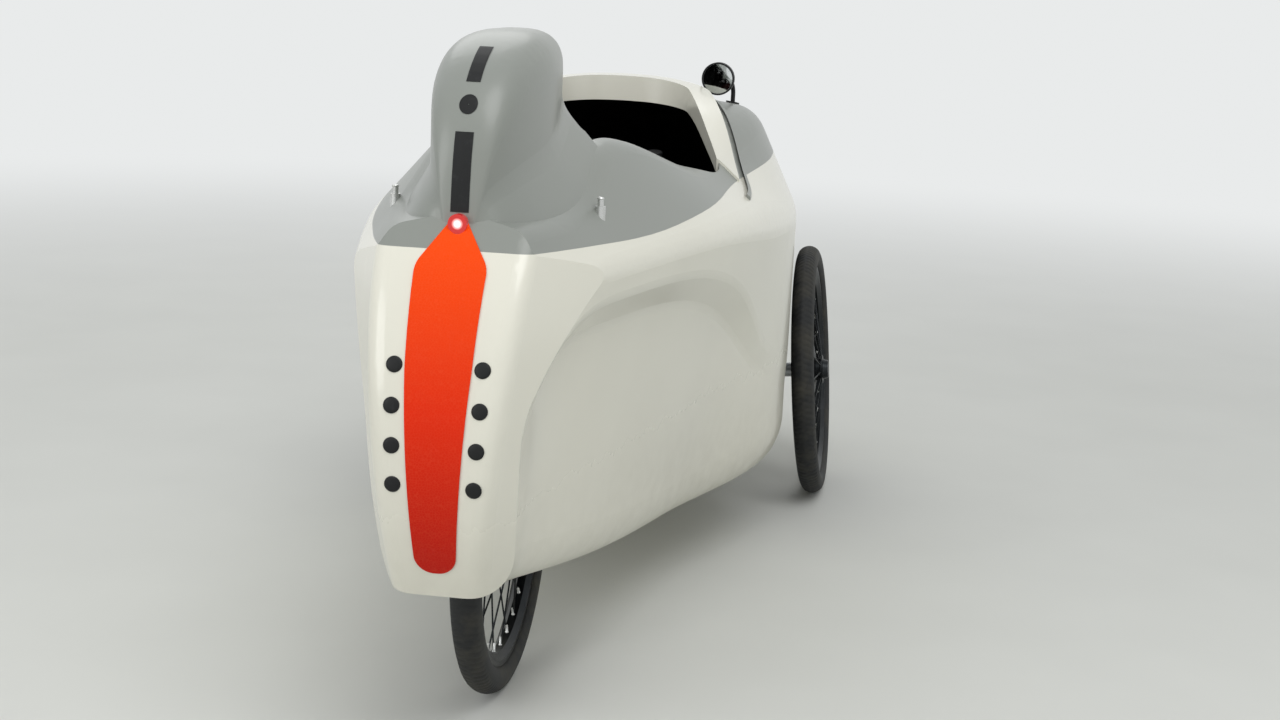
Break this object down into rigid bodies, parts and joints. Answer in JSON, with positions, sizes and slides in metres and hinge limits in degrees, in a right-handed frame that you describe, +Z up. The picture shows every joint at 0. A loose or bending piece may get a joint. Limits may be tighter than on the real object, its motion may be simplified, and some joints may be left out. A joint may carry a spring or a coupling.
{
  "type": "velomobile",
  "caption": "Three-wheeled pedal vehicle with a streamlined two-tone shell, headrest hump, open cockpit, tiller steering and a full-height red tail strip.",
  "frame": {"origin": "on the floor, under the middle of the overall length and width", "axes": "+X forward along the vehicle, +Y to its left, +Z up"},
  "size_m": [2.38, 0.7838, 0.9306],
  "materials": {
    "shell_white": "gloss",
    "shell_grey": "gloss",
    "inner_laminate": "satin",
    "red_strip": "gloss",
    "lamp_red": "gloss",
    "tyre_rubber": "matte",
    "wheel_alloy": "satin",
    "frame_alloy": "satin",
    "steel": "satin",
    "chain_steel": "satin",
    "strut_black": "satin",
    "black_plastic": "satin",
    "grip_rubber": "matte",
    "seat_laminate": "satin",
    "seat_fabric": "matte",
    "mirror_glass": "mirror"
  },
  "bodies": {
    "body": {"hull": "shell_white", "deck": "shell_grey", "cockpit_rim": "shell_white", "tail_strip": "red_strip", "tail_lamp": "lamp_red", "wheel_box_left": "inner_laminate", "wheel_box_right": "inner_laminate", "wheel_box_rear": "inner_laminate", "strut_left": "strut_black", "strut_right": "strut_black", "lower_arm_left": "frame_alloy", "lower_arm_right": "frame_alloy", "subframe": "frame_alloy", "crank_post": "frame_alloy", "chain": "chain_steel", "chain_idlers": "black_plastic", "swing_arm": "frame_alloy", "swing_arm_mount": "frame_alloy", "seat_shell": "seat_laminate", "seat_pad": "seat_fabric", "seat_ribs": "inner_laminate", "mirror_left": "black_plastic", "mirror_right": "black_plastic", "mirror_glass_left": "mirror_glass", "mirror_glass_right": "mirror_glass", "hood_studs": "steel"},
    "tiller": {"tiller": "strut_black", "tiller_grips": "grip_rubber", "brake_levers": "strut_black"},
    "tie_rod_left": {"tie_rod_left": "steel"},
    "tie_rod_right": {"tie_rod_right": "steel"},
    "steer_left": {"upright_left": "frame_alloy"},
    "steer_right": {"upright_right": "frame_alloy"},
    "wheel_left": {"wheel_front_left": "wheel_alloy", "tyre_front_left": "tyre_rubber"},
    "wheel_right": {"wheel_front_right": "wheel_alloy", "tyre_front_right": "tyre_rubber"},
    "wheel_back": {"wheel_rear": "wheel_alloy", "tyre_rear": "tyre_rubber"},
    "crank": {"crankset": "frame_alloy"},
    "pedal_left": {"pedal_left": "black_plastic"},
    "pedal_right": {"pedal_right": "black_plastic"}
  },
  "joints": [
    {"name": "tiller_turn", "type": "hinge", "parent": "body", "child": "tiller", "pos_m": [0.42, 0, 0.17], "axis": [0, 0, 1], "range_deg": [-18, 18]},
    {"name": "steer_left", "type": "hinge", "parent": "body", "child": "steer_left", "pos_m": [0.42, 0.262, 0.26], "axis": [0, 0, 1], "range_deg": [-18, 18]},
    {"name": "steer_right", "type": "hinge", "parent": "body", "child": "steer_right", "pos_m": [0.42, -0.262, 0.26], "axis": [0, 0, 1], "range_deg": [-18, 18]},
    {"name": "tie_rod_left", "type": "hinge", "parent": "tiller", "child": "tie_rod_left", "pos_m": [0.33, 0.015, 0.164], "axis": [0, 0, 1], "range_deg": [-18, 18]},
    {"name": "tie_rod_right", "type": "hinge", "parent": "tiller", "child": "tie_rod_right", "pos_m": [0.33, -0.015, 0.164], "axis": [0, 0, 1], "range_deg": [-18, 18]},
    {"name": "wheel_left_spin", "type": "hinge", "parent": "steer_left", "child": "wheel_left", "pos_m": [0.42, 0.35056, 0.24415], "axis": [0, 0.9962, 0.0872], "continuous": true},
    {"name": "wheel_right_spin", "type": "hinge", "parent": "steer_right", "child": "wheel_right", "pos_m": [0.42, -0.35056, 0.24415], "axis": [0, 0.9962, -0.0872], "continuous": true},
    {"name": "wheel_back_spin", "type": "hinge", "parent": "body", "child": "wheel_back", "pos_m": [-0.785, 0, 0.245], "axis": [0, 1, 0], "continuous": true},
    {"name": "crank_spin", "type": "hinge", "parent": "body", "child": "crank", "pos_m": [0.735, 0, 0.415], "axis": [0, 1, 0], "continuous": true},
    {"name": "pedal_left_spin", "type": "hinge", "parent": "crank", "child": "pedal_left", "pos_m": [0.585, 0.1105, 0.415], "axis": [0, 1, 0], "continuous": true},
    {"name": "pedal_right_spin", "type": "hinge", "parent": "crank", "child": "pedal_right", "pos_m": [0.885, -0.1105, 0.415], "axis": [0, 1, 0], "continuous": true}
  ],
  "couplings": [
    {"joint": "steer_left", "follows": "tiller_turn", "ratio": 1},
    {"joint": "steer_right", "follows": "tiller_turn", "ratio": 1},
    {"joint": "tie_rod_left", "follows": "tiller_turn", "ratio": -1},
    {"joint": "tie_rod_right", "follows": "tiller_turn", "ratio": -1}
  ]
}
